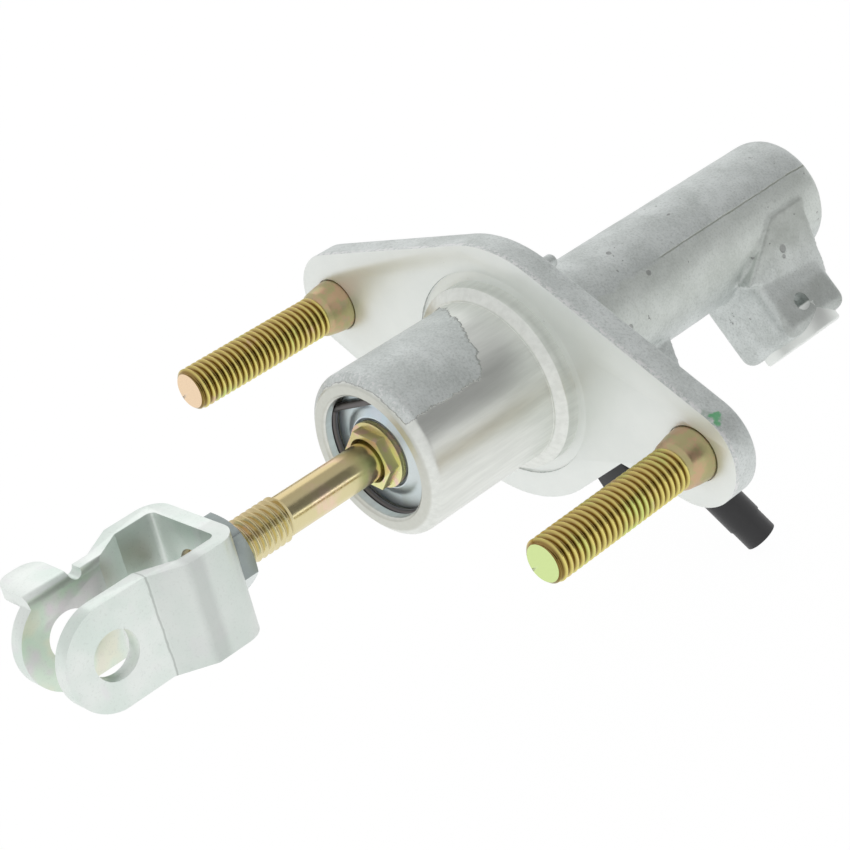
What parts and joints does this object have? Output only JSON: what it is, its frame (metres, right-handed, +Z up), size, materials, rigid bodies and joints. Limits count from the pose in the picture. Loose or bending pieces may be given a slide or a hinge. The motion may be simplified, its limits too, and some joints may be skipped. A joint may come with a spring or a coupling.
{
  "type": "clutch master cylinder",
  "caption": "Hydraulic clutch master cylinder with flange studs, side outlet boss, hose nozzle and a pushrod that ends in a folded clevis.",
  "frame": {"origin": "where the cylinder axis crosses the flange face that meets the bulkhead", "axes": "+X along the line of the studs, +Y along the cylinder towards its closed end, +Z up"},
  "size_m": [0.101, 0.1755, 0.0642],
  "materials": {
    "cast_aluminium": "cast, fine grained",
    "plated_steel": "yellow chromate",
    "zinc_steel": "pale zinc",
    "spring_steel": "dark satin",
    "piston_alloy": "machined",
    "seal_rubber": "smooth",
    "black_nylon": "satin"
  },
  "bodies": {
    "housing": {"cylinder_body": "cast_aluminium", "mounting_stud_left": "plated_steel", "mounting_stud_right": "plated_steel", "stopper_plate": "zinc_steel", "snap_ring": "spring_steel", "return_spring": "spring_steel", "inlet_connector": "black_nylon", "inlet_seal": "seal_rubber", "inlet_roll_pin": "spring_steel"},
    "piston": {"piston": "piston_alloy", "secondary_cup": "seal_rubber", "cup_washer": "zinc_steel", "primary_cup": "seal_rubber", "spring_seat": "zinc_steel"},
    "collar": {"ball_collar": "plated_steel"},
    "rod": {"pushrod": "plated_steel", "lock_nut": "plated_steel", "clevis": "zinc_steel"}
  },
  "joints": [
    {"name": "piston_slide", "type": "slide", "parent": "housing", "child": "piston", "axis": [0, 1, 0], "range_m": [0, 0.028], "stiffness_N_per_m": 1500, "springref_m": -0.02, "deforming": ["return_spring"]},
    {"name": "rod_turn", "type": "hinge", "parent": "piston", "child": "collar", "pos_m": [0, -0.025, 0], "axis": [0, 1, 0], "continuous": true},
    {"name": "rod_swing", "type": "hinge", "parent": "collar", "child": "rod", "pos_m": [0, -0.025, 0], "axis": [1, 0, 0], "range_deg": [-3, 3]}
  ]
}
